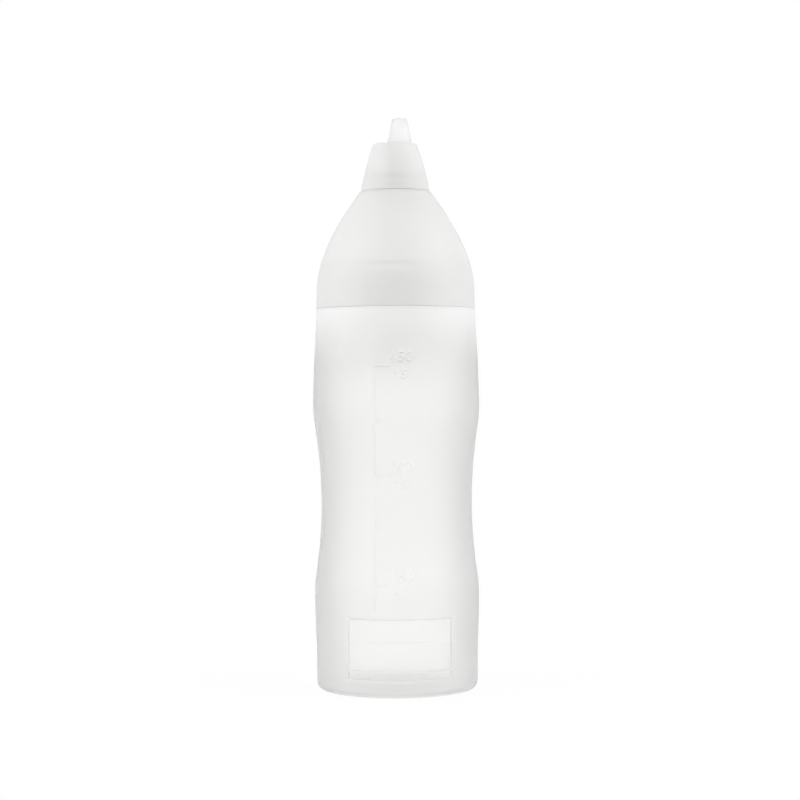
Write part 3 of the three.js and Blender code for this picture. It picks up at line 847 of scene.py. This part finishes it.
def skirt_rings(angles):
    """Down the inside of the skirt, with its thread."""
    foot = SHOULDER_HEIGHT + THREAD_FOOT + THREAD_LEAD / THREAD_STARTS / 2
    heights = np.arange(SKIRT_TOP - THREAD_SPACING, CAP_BOTTOM + 2 * EDGE, -THREAD_SPACING)
    return [ring(SKIRT_INNER_RADIUS - THREAD_DEPTH * thread(angles, height, foot), height, angles)
            for height in heights]


def hem_outline():
    """Round the skirt's lower edge, from its inside to its outside."""
    return rounded([(SKIRT_INNER_RADIUS, CAP_BOTTOM + EDGE), (SKIRT_INNER_RADIUS, CAP_BOTTOM, EDGE),
                    (SHOULDER_RADIUS, CAP_BOTTOM, HEM_EDGE),
                    (SHOULDER_RADIUS, CAP_BOTTOM + DOME_STRAIGHT / 2)])


def seat_outline():
    """The step under the collar, and the outside of the ring that it turns on, with its snap groove."""
    floor = SEAT_RING_RADIUS - SNAP_DEPTH
    low = SEAT_STEP_TOP + SNAP_RISE
    high = low + SNAP_HEIGHT
    return rounded([
        (SEAT_STEP_RADIUS, CAP_TOP), (SEAT_STEP_RADIUS, SEAT_STEP_TOP, FINE_EDGE),
        (SEAT_RING_RADIUS, SEAT_STEP_TOP, FINE_EDGE), (SEAT_RING_RADIUS, low - REST_GAP, FINE_EDGE),
        (floor, low, FINE_EDGE), (floor, high, FINE_EDGE),
        (SEAT_RING_RADIUS, high + REST_GAP, FINE_EDGE), (SEAT_RING_RADIUS, SEAT_RING_TOP - REST_GAP),
    ])


def stop_rings(angles):
    """Over the top of the seat ring, with the stop for the collar's lug."""
    outer, inner = SEAT_RING_RADIUS - REST_GAP, SEAT_RING_INNER_RADIUS + REST_GAP
    low = SEAT_RING_TOP - REST_GAP / 2
    top = SEAT_RING_TOP + STOP_HEIGHT * stop_share(angles)
    return [ring(radius, height, angles) for radius, height in
            ((outer, low), (outer, top), (inner, top), (inner, low))]


def well_outline():
    """Down the inside of the seat ring to the plate."""
    return rounded([(SEAT_RING_INNER_RADIUS, SEAT_RING_TOP - REST_GAP),
                    (SEAT_RING_INNER_RADIUS, PLATE_TOP, FINE_EDGE),
                    (SEAT_RING_INNER_RADIUS - EDGE, PLATE_TOP)])


def port_rings(angles):
    """Down through the off-centre port in the plate."""
    wide = PORT_RADIUS + FINE_EDGE
    outline = [(wide, PLATE_TOP), (PORT_RADIUS, PLATE_TOP - FINE_EDGE),
               (PORT_RADIUS, PLATE_BOTTOM + FINE_EDGE), (wide, PLATE_BOTTOM)]
    return rings(outline, angles, NOZZLE_OFFSET)


def dome_cap(material):
    angles = even(CAP_COLUMNS)
    side = dome_side()
    inside = dome_inside(side)
    crown = bezier([side[-1], (DOME_TOP_RADIUS - DOME_EDGE, CAP_TOP), (SEAT_STEP_RADIUS, CAP_TOP)],
                   FILLET_STEPS)
    roof = rounded([(POCKET_RADIUS + POCKET_WALL + 2 * EDGE, PLATE_BOTTOM),
                    (inside[-1][0], PLATE_BOTTOM, EDGE), inside[-1]])[1:-1]
    rows = rings(pocket_outline() + roof + inside[::-1] + ledge_outline(inside[0])[1:], angles)
    rows += skirt_rings(angles)
    rows += rings(hem_outline() + side + crown[1:] + seat_outline()[1:], angles)
    rows += stop_rings(angles) + rings(well_outline(), angles) + port_rings(angles)
    return placed(skinned("domed_cap", rows, True), material, "cap", "cap_plastic", "dome_cap")


# Collar and nozzle

def lug_share(angles):
    """1 where the collar's lug hangs, at the back."""
    away = np.abs((angles + 2 * math.pi) % (2 * math.pi) - math.pi)
    return np.clip((math.radians(STOP_WIDTH_DEGREES) / 2 - away) / math.radians(STOP_SLOPE_DEGREES), 0, 1)


def collar_side():
    low = (COLLAR_BASE_RADIUS, COLLAR_BOTTOM)
    high = (COLLAR_TOP_RADIUS, COLLAR_TOP - COLLAR_CORNER)
    return bezier([low, *between(low, high, [COLLAR_HANDLE_SHARES]), high], CURVE_STEPS // 2)


def mouth_outline(side):
    """Down the collar's bore over its snap bead, and round its foot to its side."""
    bore, bead = COLLAR_BORE_RADIUS, SEAT_RING_RADIUS - SNAP_DEPTH + RUN_GAP
    middle = SEAT_STEP_TOP + SNAP_RISE + SNAP_HEIGHT / 2
    half = SNAP_HEIGHT / 2 - REST_GAP
    return rounded([(bore, middle + half + 2 * REST_GAP), (bore, middle + half, FINE_EDGE),
                    (bead, middle + half / 2, FINE_EDGE), (bead, middle - half / 2, FINE_EDGE),
                    (bore, middle - half, FINE_EDGE), (bore, COLLAR_BOTTOM, FINE_EDGE),
                    (*side[0], HEM_EDGE), side[1]])


def eye_rings(angles):
    """Down through the off-centre hole in the collar's top."""
    hole = STEM_RADIUS + RUN_GAP
    outline = [(hole + FINE_EDGE, COLLAR_TOP), (hole, COLLAR_TOP - FINE_EDGE),
               (hole, COLLAR_CEILING + FINE_EDGE), (hole + FINE_EDGE, COLLAR_CEILING)]
    return rings(outline, angles, NOZZLE_OFFSET)


def web_outline(wall):
    """From the collar's inner wall over its web, down through its hole, and round its pressing skirt."""
    hole = STEM_RADIUS + NOZZLE_OFFSET + RUN_GAP
    skirt = hole + COLLAR_WALL
    outside = skirt + PRESS_SKIRT_WALL
    bottom = NOZZLE_BOTTOM + FLANGE_THICKNESS + REST_GAP
    return rounded([(wall, WEB_TOP + EDGE), (wall, WEB_TOP, EDGE), (hole, WEB_TOP, FINE_EDGE),
                    (hole, WEB_BOTTOM, FINE_EDGE), (skirt, WEB_BOTTOM, FINE_EDGE),
                    (skirt, bottom, FINE_EDGE), (outside, bottom, FINE_EDGE),
                    (outside, WEB_BOTTOM, EDGE), (SEAT_RING_INNER_RADIUS, WEB_BOTTOM)])


def lug_rings(angles):
    """The web's underside over the seat ring, with the lug that meets the stop."""
    level = WEB_BOTTOM - (WEB_BOTTOM - SEAT_RING_TOP - REST_GAP) * lug_share(angles)
    return [ring(radius, level, angles) for radius in
            (SEAT_RING_INNER_RADIUS + REST_GAP, COLLAR_BORE_RADIUS)]


def twist_collar(material):
    angles = even(CAP_COLUMNS)
    side = collar_side()
    corner = [side[-1], (COLLAR_TOP_RADIUS, COLLAR_TOP), (COLLAR_TOP_RADIUS - COLLAR_CORNER, COLLAR_TOP)]
    top = bezier(corner, FILLET_STEPS * 2)
    inside = [point for point in inset(side, COLLAR_WALL)
              if WEB_TOP + EDGE < point[1] < COLLAR_CEILING - EDGE]
    foot, head = inside[0][0], inside[-1][0]
    hollow = [(head - EDGE, COLLAR_CEILING), (head, COLLAR_CEILING - EDGE), *inside[::-1]]
    rows = rings(mouth_outline(side)[:-1] + side[1:] + top[1:], angles) + eye_rings(angles)
    rows += rings(hollow + web_outline(foot), angles) + lug_rings(angles)
    obj = skinned("screw_collar", rows, True)
    return placed(obj, material, "nozzle", "collar_plastic", "twist_collar")


def nozzle_tip(material):
    angles = even(SMALL_COLUMNS)
    flange_radius = SEAT_RING_INNER_RADIUS - RUN_GAP
    flange_top = NOZZLE_BOTTOM + FLANGE_THICKNESS
    top = COLLAR_TOP + TIP_HEIGHT
    flange = rounded([(PORT_RADIUS + EDGE * 2, NOZZLE_BOTTOM), (flange_radius, NOZZLE_BOTTOM, EDGE),
                      (flange_radius, flange_top, EDGE),
                      (STEM_RADIUS + NOZZLE_OFFSET + EDGE, flange_top)])[1:]
    stem = rounded([(STEM_RADIUS + EDGE, flange_top), (STEM_RADIUS, flange_top, EDGE),
                    (STEM_RADIUS, COLLAR_TOP + REST_GAP, EDGE),
                    (TIP_BASE_RADIUS, COLLAR_TOP + 2 * REST_GAP, EDGE),
                    (TIP_TOP_RADIUS, top, TIP_EDGE), (TIP_BORE_RADIUS, top, TIP_EDGE),
                    (STEM_BORE_RADIUS, COLLAR_TOP, EDGE),
                    (STEM_BORE_RADIUS, flange_top + STEM_BORE_RADIUS, EDGE),
                    (PORT_RADIUS, flange_top, EDGE), (PORT_RADIUS, NOZZLE_BOTTOM + FINE_EDGE),
                    (PORT_RADIUS + FINE_EDGE, NOZZLE_BOTTOM)])
    rows = rings(flange, angles) + rings(stem, angles, NOZZLE_OFFSET)
    return placed(skinned("soft_nozzle", rows, True), material, "nozzle", "nozzle_rubber", "nozzle_tip")


# Materials

def node(tree, kind, **inputs):
    made = tree.nodes.new(kind)
    for name, value in inputs.items():
        made.inputs[name.replace("_", " ")].default_value = value
    return made


def translucent(name, light, dark, roughness, transmission, grain, ior, haze=0.1):
    """A natural, milky plastic or silicone, which lets light through and is slightly uneven.

    light and dark are the two colours that its faint clouds mix. roughness is its least and most, and
    grain and haze are the size and strength of its fine texture.
    """
    material = bpy.data.materials.new(name)
    material.use_nodes = True
    tree = material.node_tree
    shader = tree.nodes["Principled BSDF"]
    shader.inputs["Transmission Weight"].default_value = transmission
    shader.inputs["IOR"].default_value = ior
    place = tree.nodes.new("ShaderNodeTexCoord")
    clouds = node(tree, "ShaderNodeTexNoise", Scale=CLOUD_SCALE, Detail=CLOUD_DETAIL,
                  Roughness=CLOUD_ROUGHNESS)
    colour = tree.nodes.new("ShaderNodeMix")
    colour.data_type = "RGBA"
    colour.inputs["A"].default_value = (*light, 1)
    colour.inputs["B"].default_value = (*dark, 1)
    gloss = node(tree, "ShaderNodeMapRange", To_Min=roughness[0], To_Max=roughness[1])
    fine = node(tree, "ShaderNodeTexNoise", Scale=1 / grain, Detail=GRAIN_DETAIL)
    bump = node(tree, "ShaderNodeBump", Strength=haze, Distance=GRAIN_DEPTH)
    link = tree.links.new
    link(place.outputs["Object"], clouds.inputs["Vector"])
    link(place.outputs["Object"], fine.inputs["Vector"])
    link(clouds.outputs["Fac"], colour.inputs["Factor"])
    link(colour.outputs["Result"], shader.inputs["Base Color"])
    link(clouds.outputs["Fac"], gloss.inputs["Value"])
    link(gloss.outputs["Result"], shader.inputs["Roughness"])
    link(fine.outputs["Fac"], bump.inputs["Height"])
    link(bump.outputs["Normal"], shader.inputs["Normal"])
    return material


def up_the_side(tree, low, high, start, end):
    """A value that is start up to the height low, end from the height high on, and even in between."""
    place = tree.nodes["Texture Coordinate"]
    split = tree.nodes.new("ShaderNodeSeparateXYZ")
    change = node(tree, "ShaderNodeMapRange", From_Min=low, From_Max=high, To_Min=start, To_Max=end)
    tree.links.new(place.outputs["Object"], split.inputs[0])
    tree.links.new(split.outputs["Z"], change.inputs["Value"])
    return change.outputs["Result"]


def with_cloudy_shoulder(material):
    """Lets less light through up to the shoulder, only to lighten a dark band of shade there. Lets less
    light through up to the shoulder, only to lighten a dark band that renders showed there.

    The wall is as thick there as elsewhere.
    """
    tree = material.node_tree
    low = SHOULDER_HEIGHT - CLOUDY_HEIGHT
    share = up_the_side(tree, low, SHOULDER_HEIGHT, CLEAR_SHARE, CLOUDY_SHARE)
    tree.links.new(share, tree.nodes["Principled BSDF"].inputs["Transmission Weight"])


# Studio

def seen_directly(tree):
    """1 for camera, glossy and transmission rays, which see the backdrop's own white, and else 0."""
    path = tree.nodes.new("ShaderNodeLightPath")
    total = path.outputs["Is Camera Ray"]
    for kind in ("Is Glossy Ray", "Is Transmission Ray"):
        either = tree.nodes.new("ShaderNodeMath")
        either.operation = "MAXIMUM"
        tree.links.new(total, either.inputs[0])
        tree.links.new(path.outputs[kind], either.inputs[1])
        total = either.outputs[0]
    return total


def world():
    made = bpy.data.worlds.new("studio")
    bpy.context.scene.world = made
    made.use_nodes = True
    tree = made.node_tree
    background = tree.nodes["Background"]
    background.inputs["Color"].default_value = (1, 1, 1, 1)
    strength = node(tree, "ShaderNodeMapRange", To_Min=AMBIENT, To_Max=1)
    tree.links.new(seen_directly(tree), strength.inputs["Value"])
    tree.links.new(strength.outputs["Result"], background.inputs["Strength"])


def floor():
    """A pale floor that is seen as white away from the object, and near it keeps the object's shadow."""
    half = FLOOR_SIZE / 2
    mesh = bpy.data.meshes.new("studio_floor")
    corners = [(-half, -half, 0), (half, -half, 0), (half, half, 0), (-half, half, 0)]
    mesh.from_pydata(corners, [], [(0, 1, 2, 3)])
    obj = bpy.data.objects.new("studio_floor", mesh)
    bpy.context.scene.collection.objects.link(obj)
    mesh.materials.append(floor_paint())


def floor_paint():
    """Paint with a share of plain white, which is SHADOW_WHITE_SHARE near the object and 1 far away."""
    material = bpy.data.materials.new("studio_floor")
    material.use_nodes = True
    tree = material.node_tree
    tree.nodes.remove(tree.nodes["Principled BSDF"])
    paint = node(tree, "ShaderNodeBsdfDiffuse", Color=(FLOOR_TONE, FLOOR_TONE, FLOOR_TONE, 1))
    glow = node(tree, "ShaderNodeEmission", Color=(1, 1, 1, 1), Strength=1)
    place = tree.nodes.new("ShaderNodeTexCoord")
    distance = tree.nodes.new("ShaderNodeVectorMath")
    distance.operation = "LENGTH"
    white = node(tree, "ShaderNodeMapRange", From_Min=SHADOW_REACH, From_Max=SHADOW_END,
                 To_Min=SHADOW_WHITE_SHARE, To_Max=1)
    white.interpolation_type = "SMOOTHSTEP"
    share = tree.nodes.new("ShaderNodeMath")
    share.operation = "MULTIPLY"
    mix = tree.nodes.new("ShaderNodeMixShader")
    link = tree.links.new
    link(place.outputs["Object"], distance.inputs[0])
    link(distance.outputs["Value"], white.inputs["Value"])
    link(seen_directly(tree), share.inputs[0])
    link(white.outputs["Result"], share.inputs[1])
    link(share.outputs[0], mix.inputs[0])
    link(paint.outputs[0], mix.inputs[1])
    link(glow.outputs[0], mix.inputs[2])
    link(mix.outputs[0], tree.nodes["Material Output"].inputs["Surface"])
    return material


def lamp(name, place, size, power):
    data = bpy.data.lights.new(name, "AREA")
    data.shape = "RECTANGLE"
    data.size, data.size_y = size
    data.energy = power
    obj = bpy.data.objects.new(name, data)
    obj.location = place
    obj.rotation_euler = (Vector(LAMP_AIM) - Vector(place)).to_track_quat("-Z", "Y").to_euler()
    bpy.context.scene.collection.objects.link(obj)


def camera():
    data = bpy.data.cameras.new("camera")
    data.sensor_width = SENSOR
    data.lens = SENSOR * CAMERA_DISTANCE / (PHOTO_SIZE * PHOTO_SCALE)
    obj = bpy.data.objects.new("camera", data)
    obj.location = (CAMERA_SIDE, -CAMERA_DISTANCE, CAMERA_HEIGHT)
    obj.rotation_euler = (math.pi / 2, math.radians(CAMERA_ROLL_DEGREES), 0)
    bpy.context.scene.collection.objects.link(obj)
    bpy.context.scene.camera = obj


bpy.context.scene.view_settings.view_transform = "Standard"
camera()
world()
floor()
for settings in LAMPS:
    lamp(*settings)

squeeze_plastic = translucent("squeeze_plastic", PALE, CLOUD, roughness=(0.45, 0.55),
                              transmission=CLEAR_SHARE, grain=GRAIN, ior=BODY_IOR)
with_cloudy_shoulder(squeeze_plastic)
# The next three paint faces of the one moulded body, to match the photograph's tones on the panel, on
# its upper edge and at the foot. They don't stand for other plastics or other walls
frosted_plastic = translucent("frosted_plastic", PALE, CLOUD, roughness=(0.25, 0.35),
                              transmission=0.98, grain=FROSTED_GRAIN, ior=BODY_IOR, haze=0.2)
# Painted shade: a darker tint on the panel's upper slope, for the shaded line at the top edge of the
# recess
panel_edge_shade = translucent("panel_edge_shade", (0.84, 0.835, 0.83), (0.8, 0.795, 0.79),
                           roughness=(0.45, 0.55), transmission=0.92, grain=GRAIN, ior=BODY_IOR)
# Painted shade: a darker tint on the foot's outer corner, where the base turns down towards the floor
foot_shade_plastic = translucent("foot_shade_plastic", (0.93, 0.925, 0.92), (0.9, 0.895, 0.89),
                            roughness=(0.35, 0.45), transmission=0.98, grain=GRAIN, ior=BODY_IOR)
milky_plastic = translucent("milky_plastic", (0.995, 0.993, 0.988), (0.982, 0.98, 0.975),
                            roughness=(0.42, 0.52), transmission=0.48, grain=CAP_GRAIN, ior=CAP_IOR)
soft_silicone = translucent("soft_silicone", (0.975, 0.975, 0.974), (0.967, 0.967, 0.966),
                            roughness=(0.6, 0.7), transmission=0.75, grain=CAP_GRAIN, ior=CAP_IOR)

bottle_body(squeeze_plastic, frosted_plastic, panel_edge_shade, foot_shade_plastic)
neck_gasket(soft_silicone)
dome_cap(milky_plastic)
drip_valve(soft_silicone)
valve_retainer(milky_plastic)
twist_collar(milky_plastic)
nozzle_tip(soft_silicone)
